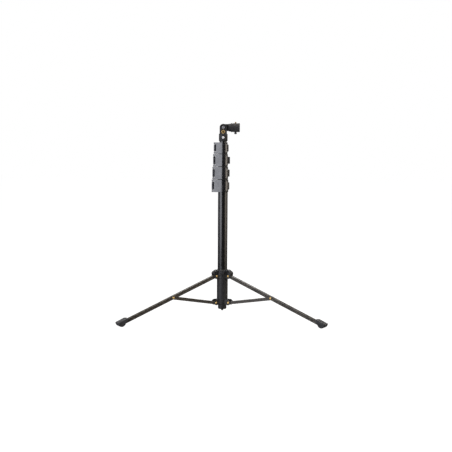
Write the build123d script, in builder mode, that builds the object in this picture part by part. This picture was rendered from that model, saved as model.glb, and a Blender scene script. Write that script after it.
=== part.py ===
from build123d import *
import math
import os

# Telescoping tripod stand: flip-lock mast, folding legs on a sliding collar, tilting socket head.
# Origin: the mast's axis at floor level. +Z is up, -Y is the stand's front, millimetres.
os.makedirs("parts", exist_ok=True)

# ---------------------------------------------------------------- driving dimensions
# mast tubes, outermost first
TUBE_OD = [30.0, 28.0, 26.0, 24.0, 22.0]
TUBE_WALL = 0.8
TUBE_BOTTOM = 43.5
GUIDE_FLANGE = 3.0
GUIDE_INSERT = 9.0
GUIDE_GAP = 1.0
GUIDE_CLEARANCE = 0.08

# flip-lock clamps, one at the top of each tube but the last
CLAMP_BASE = 391.0
CLAMP_PITCH = 39.4
CLAMP_HEIGHT = 38.6
TOP_CLAMP_HEIGHT = 35.0
CLAMP_GLUE_DEPTH = 12.0
CLAMP_WALL = 1.6
CLAMP_RUNNING = 0.05
CLAMP_KERF = 1.2
CLAMP_SPLIT = 2.0
LEVER_GAP = 0.3
LEVER_THICKNESS = 1.7
LEVER_REACH = 1.703
LEVER_WRAP = 12.0
LEVER_TAB_REACH = [1.2, 2.8, 4.6, 1.2]
LEVER_TAB_THICKNESS = 2.4
LEVER_TAB_HEIGHT = 21.0
LEVER_TIP_FACE = 8.5
CLAMP_TURN = -15.0
CLAMP_RIM = 0.7
KNUCKLE_RADIUS = 3.6
KNUCKLE_HEIGHT = 6.2
KNUCKLE_NOTCH = 1.4
HINGE_PIN_RADIUS = 1.5
TBOLT_RADIUS = 2.0
TBOLT_CLEARANCE = 0.2
TBOLT_TAIL = 6.5
NUT_FLAT_RADIUS = 4.0
NUT_HEIGHT = 3.4
NUT_COLLAR_RADIUS = 3.5
NUT_COLLAR_HEIGHT = 1.6
PIN_INSET = 0.3
WINDOW_GAP = 0.8
REAR_EAR = 5.5
EAR_OVERHANG = 3.0
EAR_LOW = 13.4
EAR_HIGH = 28.4

# leg linkage, in the upright plane of each leg: radius from the mast's axis, height
LEG_AZIMUTH = {"left": 210.0, "right": 330.0, "back": 90.0}
UPPER_PIVOT = (24.7, 131.5)
LOWER_PIVOT = (26.8, 48.7)
LEG_ANGLE = 21.2
LEG_TO_KNEE = 158.9
LEG_WIDTH = 12.0
LEG_HEIGHT = 11.0
LEG_WALL = 1.2
LEG_CORNER = 2.4
LEG_GROOVE_DEPTH = 0.4
LEG_GROOVE_WIDTH = 1.8
LEG_GROOVE_DROP = 0.6
LEG_LENGTH = 338.0
STAY_WIDTH = 14.6
STAY_WALL = 1.0
STAY_TOP = 3.5
STAY_BOTTOM = -5.5
STAY_END_RADIUS = 5.0
STAY_WEB_START = 9.0
STAY_WEB_END = 98.0
SIDE_CLEARANCE = 0.3
RIVET_RADIUS = 2.0
RIVET_HEAD_RADIUS = 3.3
RIVET_HEAD_HEIGHT = 1.5
RIVET_CLEARANCE = 0.06
CHEEK = 2.2

# feet
FOOT_SOLE_RADIUS = 12.5
FOOT_SOLE_CENTRE = 343.5
FOOT_ABOVE_LEG = 9.4
FOOT_HALF_WIDTH = 12.0
FOOT_HEEL_ANGLE = 208.0
FOOT_COLLAR_R = 321.5
FOOT_COLLAR_LIFT = 1.2
FOOT_BROW_R = 329.0
FOOT_FLANK = 1.8

# collars on the outer tube
COLLAR_RUNNING = 0.1
COLLAR_RADIUS = 19.0
COLLAR_LOW = 124.7
COLLAR_HIGH = 150.5
SLEEVE_RADIUS = 17.0
SLEEVE_LOW = 59.3
SLEEVE_HIGH = 132.0
LOWER_COLLAR_RADIUS = 17.3
LOWER_COLLAR_LOW = 43.0
LOWER_COLLAR_HIGH = 59.0
KNOB_HEIGHT = 143.0
KNOB_BOSS_RADIUS = 6.6
KNOB_BOSS_FACE = 24.0
KNOB_STUD_RADIUS = 2.5
KNOB_HUB_RADIUS = 5.6
KNOB_HUB_LENGTH = 8.0
KNOB_WING_THICKNESS = 3.0
STAY_SLOT_START = 18.6
PLUG_RADIUS = 13.3
PLUG_LOW = 27.2
PLUG_HIGH = 60.0
PLUG_NOSE = 3.0
STUD_RADIUS = 3.0
STUD_LOW = 21.9
STUD_NOSE = 1.6
STUD_GRIP = 10.0

# fork outlines in the upright plane of a leg: radius from the mast's axis, height
HOOD_OUTLINE = [
    (10.0, 126.0),
    (10.0, 150.5),
    (22.5, 150.5),
    (33.0, 143.6),
    (34.3, 140.2),
    (32.6, 128.5),
    (28.5, 123.2),
    (22.0, 122.6),
    (17.5, 126.0),
]
HOOD_SLOT = [(19.2, 118.0), (19.2, 141.5), (24.0, 139.8), (40.0, 133.6), (40.0, 118.0)]
STAY_EAR_OUTLINE = [
    (9.0, 44.0),
    (9.0, 58.7),
    (26.0, 58.7),
    (31.6, 54.6),
    (33.6, 49.4),
    (31.8, 43.4),
    (26.6, 40.4),
    (20.0, 42.0),
]

# tilting head
HEAD_RADIUS = 13.4
HEAD_LOW = 547.3
HEAD_SHOULDER = 570.6
HEAD_BORE_TOP = 567.0
FORK_HALF = 11.2
FORK_DEPTH = 11.0
FORK_SLOT = 4.2
FORK_SLOT_LOW = 571.5
PIVOT_HEIGHT = 589.5
PIVOT_RADIUS = 3.0
PIVOT_HEAD_RADIUS = 5.3
PIVOT_HEAD_HEIGHT = 2.6
PIVOT_TAIL = 6.0
PIVOT_NUT_RADIUS = 5.0
PIVOT_NUT_HEIGHT = 4.0
PIVOT_NUT_COLLAR = 4.5
BUSH_HEIGHT = 576.6
BUSH_RADIUS = 5.75
BUSH_HOLE = 2.5
BUSH_SHANK_RADIUS = 4.65
BUSH_RIM = 0.9
FIX_SCREW_HEIGHT = 558.6
FIX_SCREW_RADIUS = 2.0
FIX_SCREW_SEAT = 12.7
FIX_HEAD_RADIUS = 4.0
FIX_HEAD_HEIGHT = 2.2
FIX_SCREW_TIP = 9.4
TONGUE_HALF = 10.6
TONGUE_THICKNESS = 8.0
NECK_START = 16.4
NECK_RADIUS = 12.0
SOCKET_START = 22.8
SOCKET_END = 50.8
SOCKET_RADIUS = 13.8
SOCKET_BORE = 8.0
SPIGOT_RADIUS = 9.0
SPIGOT_LENGTH = 4.0
CROSS_X = 37.7
CROSS_RADIUS = 2.0
LOCK_HEAD_RADIUS = 3.75
LOCK_HEAD_HEIGHT = 5.8
LOCK_FLUTES = 12
LOCK_FLUTE_RADIUS = 0.45
SPRING_STUD_RADIUS = 2.6
SPRING_STUD_HEIGHT = 3.6

# ---------------------------------------------------------------- worked-out values
TUBE_COUNT = len(TUBE_OD)
CLAMP_COUNT = TUBE_COUNT - 1
KNEE = (
    UPPER_PIVOT[0] + LEG_TO_KNEE * math.cos(math.radians(LEG_ANGLE)),
    UPPER_PIVOT[1] - LEG_TO_KNEE * math.sin(math.radians(LEG_ANGLE)),
)
STAY_LENGTH = math.hypot(KNEE[0] - LOWER_PIVOT[0], KNEE[1] - LOWER_PIVOT[1])
STAY_ANGLE = math.degrees(math.atan2(KNEE[1] - LOWER_PIVOT[1], KNEE[0] - LOWER_PIVOT[0]))


def save(piece, name):
    """Label a finished piece and write it as its own STEP file."""
    piece.part.label = name
    export_step(piece.part, f"parts/{name}.step")


def clamp_low(index):
    """Height of the underside of a clamp, index 0 being the lowest."""
    return CLAMP_BASE + index * CLAMP_PITCH


def clamp_height(index):
    """The topmost clamp is a little shorter than the others."""
    return TOP_CLAMP_HEIGHT if index == CLAMP_COUNT - 1 else CLAMP_HEIGHT


def tube_low(index):
    """Each inner tube starts just above the guide plug of the tube around it."""
    if index == 0:
        return TUBE_BOTTOM
    first = PLUG_HIGH + GUIDE_GAP + GUIDE_FLANGE
    return first + (index - 1) * (GUIDE_FLANGE + GUIDE_INSERT + GUIDE_GAP)


def tube_high(index):
    """A tube ends where its clamp's glue socket ends; the last one ends in the head."""
    if index == CLAMP_COUNT:
        return HEAD_BORE_TOP - 0.1
    return clamp_low(index) + CLAMP_GLUE_DEPTH - 0.1


def leg_plane(azimuth):
    """Upright plane through the mast's axis: local x is outward, local y is up."""
    a = math.radians(azimuth)
    outward = (math.cos(a), math.sin(a), 0)
    return Plane(origin=(0, 0, 0), x_dir=outward, z_dir=(math.sin(a), -math.cos(a), 0))


# the clamps are turned about the mast as one, so that their levers lie to the left of its front
CLAMP_PLAN = Plane.XY.rotated((0, 0, CLAMP_TURN))
CLAMP_FACE = leg_plane(CLAMP_TURN)


def member_plane(azimuth, pivot, rise):
    """Plane of a leg or stay: origin at its pivot, local x along the member."""
    a = math.radians(azimuth)
    e = math.radians(rise)
    out = Vector(math.cos(a), math.sin(a), 0)
    along = out * math.cos(e) + Vector(0, 0, math.sin(e))
    origin = out * pivot[0] + Vector(0, 0, pivot[1])
    return Plane(origin=origin, x_dir=along, z_dir=(math.sin(a), -math.cos(a), 0))


def section_plane(azimuth, pivot, rise, distance):
    """Plane across a leg at a distance along it: local x is sideways, local y is up."""
    side = member_plane(azimuth, pivot, rise)
    return Plane(origin=side.origin + side.x_dir * distance, x_dir=-side.z_dir, z_dir=side.x_dir)


def rivet(plane, pivot, tip, seat):
    """Domed rivet across a plane: its head sits at offset seat, its shank runs back to offset tip."""
    centre = plane.from_local_coords((pivot[0], pivot[1], 0))
    outward = plane.z_dir * math.copysign(1, seat)
    start = abs(tip) * math.copysign(1, tip * seat)
    face = abs(seat)
    half = Plane(origin=centre, x_dir=plane.x_dir, z_dir=plane.x_dir.cross(outward))
    dome = (RIVET_HEAD_RADIUS**2 + RIVET_HEAD_HEIGHT**2) / (2 * RIVET_HEAD_HEIGHT)
    lean = math.asin(RIVET_HEAD_RADIUS / dome) / 2
    on_dome = (dome * math.sin(lean), face + RIVET_HEAD_HEIGHT - dome + dome * math.cos(lean))
    with BuildPart() as one:
        with BuildSketch(half):
            with BuildLine():
                Polyline((0, start), (RIVET_RADIUS, start), (RIVET_RADIUS, face), (RIVET_HEAD_RADIUS, face))
                ThreePointArc((RIVET_HEAD_RADIUS, face), on_dome, (0, face + RIVET_HEAD_HEIGHT))
                Line((0, face + RIVET_HEAD_HEIGHT), (0, start))
            make_face()
        revolve(axis=Axis(centre, -outward))
    return one.part


# ---------------------------------------------------------------- mast tubes and guide plugs
for i in range(TUBE_COUNT):
    outer = TUBE_OD[i] / 2
    with BuildPart() as tube:
        with BuildSketch(Plane.XY.offset(tube_low(i))):
            Circle(outer)
            Circle(outer - TUBE_WALL, mode=Mode.SUBTRACT)
        extrude(amount=tube_high(i) - tube_low(i))
        if i == CLAMP_COUNT:
            with BuildSketch(Plane.XZ.offset(outer - TUBE_WALL - 1)):
                with Locations((0, FIX_SCREW_HEIGHT)):
                    Circle(FIX_SCREW_RADIUS + RIVET_CLEARANCE)
            extrude(amount=TUBE_WALL + 2, mode=Mode.SUBTRACT)
    save(tube, f"tube_{i + 1}")

for i in range(1, TUBE_COUNT):
    slide_radius = TUBE_OD[i - 1] / 2 - TUBE_WALL - GUIDE_CLEARANCE
    plug_radius = TUBE_OD[i] / 2 - TUBE_WALL
    with BuildPart() as guide:
        with BuildSketch(Plane.XY.offset(tube_low(i) - GUIDE_FLANGE)):
            Circle(slide_radius)
        extrude(amount=GUIDE_FLANGE)
        with BuildSketch(Plane.XY.offset(tube_low(i))):
            Circle(plug_radius)
        extrude(amount=GUIDE_INSERT)
        chamfer(guide.edges().group_by(Axis.Z)[0], 0.6)
    save(guide, f"guide_plug_{i + 1}")

# ---------------------------------------------------------------- flip-lock clamps
for i in range(CLAMP_COUNT):
    low = clamp_low(i)
    height = clamp_height(i)
    tube_radius = TUBE_OD[i] / 2
    inner_radius = TUBE_OD[i + 1] / 2 + CLAMP_RUNNING
    band = tube_radius + CLAMP_WALL
    lever_in = band + LEVER_GAP
    lever_out = lever_in + LEVER_THICKNESS
    hinge_x = -(lever_out * LEVER_REACH - KNUCKLE_RADIUS)
    hinge_y = -(lever_out - KNUCKLE_RADIUS)
    bolt_z = low + height / 2
    front_ear = -(hinge_y + KNUCKLE_RADIUS + 0.1)
    ear_back = REAR_EAR + CLAMP_SPLIT / 2

    with BuildPart() as body:
        with BuildSketch(CLAMP_PLAN.offset(low)):
            Circle(band)
        extrude(amount=height)
        with BuildSketch(CLAMP_PLAN.offset(low + EAR_LOW)):
            with Locations((hinge_x - EAR_OVERHANG, -front_ear)):
                Rectangle(-hinge_x, front_ear + ear_back, align=(Align.MIN, Align.MIN))
        extrude(amount=EAR_HIGH - EAR_LOW)
        fillet(body.edges().filter_by(Axis.Z).sort_by(Axis.X)[0:2], 1.2)
        chamfer(body.edges().filter_by(GeomType.CIRCLE).group_by(Axis.Z)[-1], CLAMP_RIM)
        chamfer(body.edges().filter_by(GeomType.CIRCLE).group_by(Axis.Z)[0], CLAMP_RIM)
        with BuildSketch(CLAMP_PLAN.offset(low - 1)):
            Circle(tube_radius)
        extrude(amount=CLAMP_GLUE_DEPTH + 1, mode=Mode.SUBTRACT)
        with BuildSketch(CLAMP_PLAN.offset(low)):
            Circle(inner_radius)
        extrude(amount=height, mode=Mode.SUBTRACT)
        with BuildSketch(CLAMP_PLAN.offset(low + CLAMP_GLUE_DEPTH)):
            Rectangle(60, CLAMP_SPLIT, align=(Align.MAX, Align.CENTER))
        extrude(amount=height, mode=Mode.SUBTRACT)
        with BuildSketch(CLAMP_PLAN.offset(low + CLAMP_GLUE_DEPTH)):
            with Locations((-2.0, 0)):
                Rectangle(60, 60, align=(Align.MAX, Align.CENTER))
        extrude(amount=CLAMP_KERF, mode=Mode.SUBTRACT)
        with BuildSketch(CLAMP_FACE.offset(-REAR_EAR - 3)):
            with Locations((hinge_x, bolt_z)):
                Circle(TBOLT_RADIUS + TBOLT_CLEARANCE)
        extrude(amount=front_ear + REAR_EAR + 6, mode=Mode.SUBTRACT)
    save(body, f"clamp_body_{i + 1}")

    with BuildPart() as tbolt:
        barrel_low = low + KNUCKLE_HEIGHT + KNUCKLE_NOTCH
        barrel_height = height - 2 * (KNUCKLE_HEIGHT + KNUCKLE_NOTCH)
        with BuildSketch(CLAMP_PLAN.offset(barrel_low)):
            with Locations((hinge_x, hinge_y)):
                Circle(KNUCKLE_RADIUS)
        extrude(amount=barrel_height)
        chamfer(tbolt.edges().filter_by(GeomType.CIRCLE), 0.5)
        with BuildSketch(CLAMP_FACE.offset(-hinge_y)):
            with Locations((hinge_x, bolt_z)):
                Circle(TBOLT_RADIUS)
        extrude(amount=-(ear_back + TBOLT_TAIL - hinge_y))
        with BuildSketch(CLAMP_PLAN.offset(low)):
            with Locations((hinge_x, hinge_y)):
                Circle(HINGE_PIN_RADIUS)
        extrude(amount=height, mode=Mode.SUBTRACT)
    save(tbolt, f"clamp_tbolt_{i + 1}")

    with BuildPart() as pin:
        with BuildSketch(CLAMP_PLAN.offset(low + PIN_INSET)):
            with Locations((hinge_x, hinge_y)):
                Circle(HINGE_PIN_RADIUS)
        extrude(amount=height - 2 * PIN_INSET)
        chamfer(pin.edges().filter_by(GeomType.CIRCLE), PIN_INSET)
    save(pin, f"clamp_pin_{i + 1}")

    with BuildPart() as nut:
        with BuildSketch(CLAMP_FACE.offset(-ear_back)):
            with Locations((hinge_x, bolt_z)):
                RegularPolygon(NUT_FLAT_RADIUS, 6, major_radius=False)
                Circle(TBOLT_RADIUS, mode=Mode.SUBTRACT)
        extrude(amount=-NUT_HEIGHT)
        with BuildSketch(CLAMP_FACE.offset(-(ear_back + NUT_HEIGHT))):
            with Locations((hinge_x, bolt_z)):
                Circle(NUT_COLLAR_RADIUS)
                Circle(TBOLT_RADIUS, mode=Mode.SUBTRACT)
        extrude(amount=-NUT_COLLAR_HEIGHT)
    save(nut, f"clamp_nut_{i + 1}")

    tab_root = lever_out - CLAMP_RIM
    tip_low = height / 2 - LEVER_TAB_HEIGHT / 2
    with BuildPart() as lever:
        with BuildSketch(CLAMP_PLAN.offset(low + PIN_INSET)):
            with BuildLine():
                Line((hinge_x, -lever_out), (0, -lever_out))
                outer = CenterArc((0, 0), lever_out, -90, 90 + LEVER_WRAP)
                inner = CenterArc((0, 0), lever_in, -90, 90 + LEVER_WRAP)
                Line(outer @ 1, inner @ 1)
                Polyline((0, -lever_in), (hinge_x, -lever_in), (hinge_x, -lever_out))
            make_face()
        extrude(amount=height - 2 * PIN_INSET)
        with BuildSketch(CLAMP_PLAN.offset(low + PIN_INSET)):
            with Locations((hinge_x, hinge_y)):
                Circle(KNUCKLE_RADIUS)
        extrude(amount=height - 2 * PIN_INSET)
        # window that clears the barrel and the ears, and leaves a knuckle above and below
        with BuildSketch(CLAMP_FACE.offset(lever_out + 1)):
            with Locations((hinge_x + KNUCKLE_RADIUS + WINDOW_GAP, bolt_z)):
                Rectangle(
                    3 * KNUCKLE_RADIUS, height - 2 * KNUCKLE_HEIGHT, align=(Align.MAX, Align.CENTER)
                )
        extrude(amount=-(lever_out + 6), mode=Mode.SUBTRACT)
        # the free end is rounded off to a finger tip
        with BuildSketch(CLAMP_FACE.offset(lever_out + 1)):
            with BuildLine():
                Polyline(
                    (lever_out / 2, bolt_z + height / 2),
                    (lever_out * 0.9, bolt_z + tip_low + 4.0),
                    (lever_out + 1, bolt_z + tip_low - 2.0),
                    (lever_out + 1, bolt_z + height / 2),
                    (lever_out / 2, bolt_z + height / 2),
                )
            make_face()
            mirror(about=Plane(origin=(0, bolt_z, 0), z_dir=(0, 1, 0)))
        extrude(amount=-(2 * lever_out), mode=Mode.SUBTRACT)
        with BuildSketch(CLAMP_PLAN.offset(bolt_z - LEVER_TAB_HEIGHT / 2)):
            with PolarLocations(tab_root, 1, start_angle=LEVER_WRAP):
                Rectangle(
                    LEVER_TAB_REACH[i] + CLAMP_RIM, LEVER_TAB_THICKNESS, align=(Align.MIN, Align.MAX)
                )
        extrude(amount=LEVER_TAB_HEIGHT)
        with BuildSketch(CLAMP_PLAN.offset(low)):
            with Locations((hinge_x, hinge_y)):
                Circle(HINGE_PIN_RADIUS + RIVET_CLEARANCE)
        extrude(amount=height, mode=Mode.SUBTRACT)
    save(lever, f"clamp_lever_{i + 1}")

# ---------------------------------------------------------------- legs, feet and stays
for name, azimuth in LEG_AZIMUTH.items():
    side = member_plane(azimuth, UPPER_PIVOT, -LEG_ANGLE)
    with BuildPart() as leg:
        with BuildSketch(section_plane(azimuth, UPPER_PIVOT, -LEG_ANGLE, -LEG_HEIGHT / 2)):
            RectangleRounded(LEG_WIDTH, LEG_HEIGHT, LEG_CORNER)
            with Locations((-LEG_WIDTH / 2, -LEG_GROOVE_DROP), (LEG_WIDTH / 2, -LEG_GROOVE_DROP)):
                Rectangle(2 * LEG_GROOVE_DEPTH, LEG_GROOVE_WIDTH, mode=Mode.SUBTRACT)
            RectangleRounded(
                LEG_WIDTH - 2 * LEG_WALL,
                LEG_HEIGHT - 2 * LEG_WALL,
                LEG_CORNER - LEG_WALL,
                mode=Mode.SUBTRACT,
            )
        extrude(amount=LEG_LENGTH + LEG_HEIGHT / 2)
        with BuildSketch(side):
            Circle(LEG_HEIGHT / 2)
            Rectangle(LEG_LENGTH + 1, LEG_HEIGHT + 1, align=(Align.MIN, Align.CENTER))
        extrude(amount=LEG_WIDTH, both=True, mode=Mode.INTERSECT)
        with BuildSketch(side):
            with Locations((0, 0), (LEG_TO_KNEE, 0)):
                Circle(RIVET_RADIUS + RIVET_CLEARANCE)
        extrude(amount=LEG_WIDTH, both=True, mode=Mode.SUBTRACT)
    save(leg, f"leg_{name}")

    upright = leg_plane(azimuth)
    slope = math.tan(math.radians(LEG_ANGLE))
    lift = FOOT_ABOVE_LEG / math.cos(math.radians(LEG_ANGLE))
    leg_half = LEG_HEIGHT / 2 / math.cos(math.radians(LEG_ANGLE))

    def above_leg(r, rise):
        """Height at radius r of a line parallel to the leg."""
        return UPPER_PIVOT[1] - (r - UPPER_PIVOT[0]) * slope + rise

    toe_r = FOOT_SOLE_CENTRE + FOOT_SOLE_RADIUS
    heel_angle = math.radians(FOOT_HEEL_ANGLE)
    heel = (
        FOOT_SOLE_CENTRE + FOOT_SOLE_RADIUS * math.cos(heel_angle),
        FOOT_SOLE_RADIUS + FOOT_SOLE_RADIUS * math.sin(heel_angle),
    )
    with BuildPart() as foot:
        with BuildSketch(upright):
            with BuildLine():
                ThreePointArc((toe_r, FOOT_SOLE_RADIUS), (FOOT_SOLE_CENTRE, 0), heel)
                Polyline(
                    heel,
                    (FOOT_COLLAR_R, above_leg(FOOT_COLLAR_R, leg_half + FOOT_COLLAR_LIFT)),
                    (FOOT_BROW_R, above_leg(FOOT_BROW_R, lift)),
                    (toe_r, FOOT_SOLE_RADIUS),
                )
            make_face()
        extrude(amount=FOOT_HALF_WIDTH, both=True)
        for flank in foot.faces().filter_by(upright):
            fillet(flank.edges(), FOOT_FLANK)
        with BuildSketch(section_plane(azimuth, UPPER_PIVOT, -LEG_ANGLE, 0)):
            RectangleRounded(LEG_WIDTH, LEG_HEIGHT, LEG_CORNER)
        extrude(amount=LEG_LENGTH + 0.2, mode=Mode.SUBTRACT)
    save(foot, f"foot_{name}")

    rise = member_plane(azimuth, LOWER_PIVOT, STAY_ANGLE)
    with BuildPart() as stay:
        with BuildSketch(rise):
            with Locations((0, STAY_BOTTOM)):
                Rectangle(STAY_LENGTH, STAY_TOP - STAY_BOTTOM, align=(Align.MIN, Align.MIN))
            with Locations((0, 0), (STAY_LENGTH, 0)):
                Circle(STAY_END_RADIUS)
        extrude(amount=STAY_WIDTH / 2, both=True)
        with BuildSketch(rise):
            with Locations((-10, STAY_BOTTOM - 1)):
                Rectangle(
                    STAY_LENGTH + 20, STAY_TOP - STAY_WALL - STAY_BOTTOM + 1, align=(Align.MIN, Align.MIN)
                )
            with Locations((-10, STAY_BOTTOM - 1)):
                Rectangle(STAY_WEB_START + 10, 20, align=(Align.MIN, Align.MIN))
            with Locations((STAY_WEB_END, STAY_BOTTOM - 1)):
                Rectangle(STAY_LENGTH, 20, align=(Align.MIN, Align.MIN))
        extrude(amount=STAY_WIDTH / 2 - STAY_WALL, both=True, mode=Mode.SUBTRACT)
        with BuildSketch(rise):
            with Locations((0, 0), (STAY_LENGTH, 0)):
                Circle(RIVET_RADIUS + RIVET_CLEARANCE)
        extrude(amount=STAY_WIDTH, both=True, mode=Mode.SUBTRACT)
    save(stay, f"stay_{name}")

    flange = (STAY_WIDTH / 2 - STAY_WALL, STAY_WIDTH / 2)
    pair = [rivet(rise, (STAY_LENGTH, 0), flank * flange[0], flank * flange[1]) for flank in (-1, 1)]
    with BuildPart() as knee_rivets:
        for one in pair:
            add(one)
    save(knee_rivets, f"knee_rivets_{name}")

# ---------------------------------------------------------------- sliding leg collar
fork_in = LEG_WIDTH / 2 + SIDE_CLEARANCE
fork_out = fork_in + CHEEK
with BuildPart() as leg_collar:
    with BuildSketch(Plane.XY.offset(COLLAR_LOW)):
        Circle(COLLAR_RADIUS)
    extrude(amount=COLLAR_HIGH - COLLAR_LOW)
    chamfer(leg_collar.edges().group_by(Axis.Z)[-1], 1.2)
    for azimuth in LEG_AZIMUTH.values():
        with BuildSketch(leg_plane(azimuth)) as hood:
            with BuildLine():
                Polyline(*HOOD_OUTLINE, close=True)
            make_face()
            fillet(hood.vertices().sort_by(Axis.Z)[-4:], 1.2)
        extrude(amount=fork_out, both=True)
        with BuildSketch(leg_plane(azimuth)):
            with BuildLine():
                Polyline(*HOOD_SLOT, close=True)
            make_face()
        extrude(amount=fork_in, both=True, mode=Mode.SUBTRACT)
        with BuildSketch(leg_plane(azimuth)):
            with Locations(UPPER_PIVOT):
                Circle(RIVET_RADIUS)
        extrude(amount=fork_out + 1, both=True, mode=Mode.SUBTRACT)
    with BuildSketch(Plane.XZ.offset(TUBE_OD[0] / 2)):
        with Locations((0, KNOB_HEIGHT)):
            Circle(KNOB_BOSS_RADIUS)
    extrude(amount=KNOB_BOSS_FACE - TUBE_OD[0] / 2)
    with BuildSketch(Plane.XZ.offset(TUBE_OD[0] / 2 - 3)):
        with Locations((0, KNOB_HEIGHT)):
            Circle(KNOB_STUD_RADIUS + 0.08)
    extrude(amount=KNOB_BOSS_FACE, mode=Mode.SUBTRACT)
    with BuildSketch(Plane.XY.offset(COLLAR_LOW - 5)):
        Circle(TUBE_OD[0] / 2 + COLLAR_RUNNING)
    extrude(amount=COLLAR_HIGH - COLLAR_LOW + 10, mode=Mode.SUBTRACT)
    with BuildSketch(Plane.XY.offset(COLLAR_LOW - 5)):
        Circle(SLEEVE_RADIUS)
    extrude(amount=SLEEVE_HIGH - COLLAR_LOW + 5, mode=Mode.SUBTRACT)
save(leg_collar, "leg_collar")

with BuildPart() as collar_sleeve:
    with BuildSketch(Plane.XY.offset(SLEEVE_LOW)):
        Circle(SLEEVE_RADIUS)
        Circle(TUBE_OD[0] / 2 + COLLAR_RUNNING, mode=Mode.SUBTRACT)
    extrude(amount=SLEEVE_HIGH - SLEEVE_LOW)
save(collar_sleeve, "collar_sleeve")

sides = [(azimuth, side) for azimuth in LEG_AZIMUTH.values() for side in (-1, 1)]
halves = [rivet(leg_plane(azimuth), UPPER_PIVOT, 0, side * fork_out) for azimuth, side in sides]
with BuildPart() as leg_pivot_rivets:
    for half in halves:
        add(half)
save(leg_pivot_rivets, "leg_pivot_rivets")

with BuildPart() as collar_knob:
    with BuildSketch(Plane.XZ.offset(TUBE_OD[0] / 2 + 0.4)):
        with Locations((0, KNOB_HEIGHT)):
            Circle(KNOB_STUD_RADIUS)
    extrude(amount=KNOB_BOSS_FACE + 2 - TUBE_OD[0] / 2)
    with BuildSketch(Plane.XZ.offset(KNOB_BOSS_FACE + 0.5)):
        with Locations((0, KNOB_HEIGHT)):
            Circle(KNOB_HUB_RADIUS)
    extrude(amount=KNOB_HUB_LENGTH, taper=6)
    blade = Plane(origin=(0, -KNOB_BOSS_FACE - 0.5, KNOB_HEIGHT), x_dir=(0.7, 0, 0.7), z_dir=(-0.7, 0, 0.7))
    with BuildSketch(blade):
        with BuildLine():
            Polyline((0, -1.0), (5.0, -1.0))
            Spline((5.0, -1.0), (9.5, -4.0), (13.8, -6.0))
            ThreePointArc((13.8, -6.0), (15.6, -8.6), (13.4, -10.6))
            Spline((13.4, -10.6), (8.0, -9.4), (3.0, -7.8))
            Polyline((3.0, -7.8), (0, -7.8), (0, -1.0))
        make_face()
        mirror(about=Plane.YZ)
    extrude(amount=KNOB_WING_THICKNESS / 2, both=True)
save(collar_knob, "collar_wing_knob")

# ---------------------------------------------------------------- fixed lower collar and mast foot
stay_fork_in = STAY_WIDTH / 2 + SIDE_CLEARANCE
stay_fork_out = stay_fork_in + CHEEK
with BuildPart() as lower_collar:
    with BuildSketch(Plane.XY.offset(LOWER_COLLAR_LOW)):
        Circle(LOWER_COLLAR_RADIUS)
    extrude(amount=LOWER_COLLAR_HIGH - LOWER_COLLAR_LOW)
    chamfer(lower_collar.edges().group_by(Axis.Z)[0], 1.5)
    for azimuth in LEG_AZIMUTH.values():
        with BuildSketch(leg_plane(azimuth)):
            with BuildLine():
                Polyline(*STAY_EAR_OUTLINE, close=True)
            make_face()
        extrude(amount=stay_fork_out, both=True)
        with BuildSketch(leg_plane(azimuth)):
            with Locations((STAY_SLOT_START, LOWER_COLLAR_LOW - 13)):
                Rectangle(40, 40, align=(Align.MIN, Align.MIN))
        extrude(amount=stay_fork_in, both=True, mode=Mode.SUBTRACT)
        with BuildSketch(leg_plane(azimuth)):
            with Locations(LOWER_PIVOT):
                Circle(RIVET_RADIUS)
        extrude(amount=stay_fork_out + 1, both=True, mode=Mode.SUBTRACT)
    with BuildSketch(Plane.XY.offset(LOWER_COLLAR_LOW - 5)):
        Circle(TUBE_OD[0] / 2)
    extrude(amount=LOWER_COLLAR_HIGH - LOWER_COLLAR_LOW + 10, mode=Mode.SUBTRACT)
save(lower_collar, "lower_collar")

halves = [rivet(leg_plane(azimuth), LOWER_PIVOT, 0, side * stay_fork_out) for azimuth, side in sides]
with BuildPart() as stay_pivot_rivets:
    for half in halves:
        add(half)
save(stay_pivot_rivets, "stay_pivot_rivets")

with BuildPart() as mast_plug:
    with BuildSketch(Plane.XY.offset(PLUG_LOW)):
        Circle(PLUG_RADIUS)
    extrude(amount=TUBE_BOTTOM - PLUG_LOW)
    fillet(mast_plug.edges().group_by(Axis.Z)[0], PLUG_NOSE)
    with BuildSketch(Plane.XY.offset(TUBE_BOTTOM)):
        Circle(TUBE_OD[0] / 2 - TUBE_WALL)
    extrude(amount=PLUG_HIGH - TUBE_BOTTOM)
    with BuildSketch(Plane.XY.offset(PLUG_LOW)):
        Circle(STUD_RADIUS)
    extrude(amount=STUD_GRIP, mode=Mode.SUBTRACT)
save(mast_plug, "mast_plug")

with BuildPart() as mast_stud:
    with BuildSketch(Plane.XY.offset(STUD_LOW)):
        Circle(STUD_RADIUS)
    extrude(amount=PLUG_LOW + STUD_GRIP - STUD_LOW)
    fillet(mast_stud.edges().group_by(Axis.Z)[0], STUD_NOSE)
save(mast_stud, "mast_stud")

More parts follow.
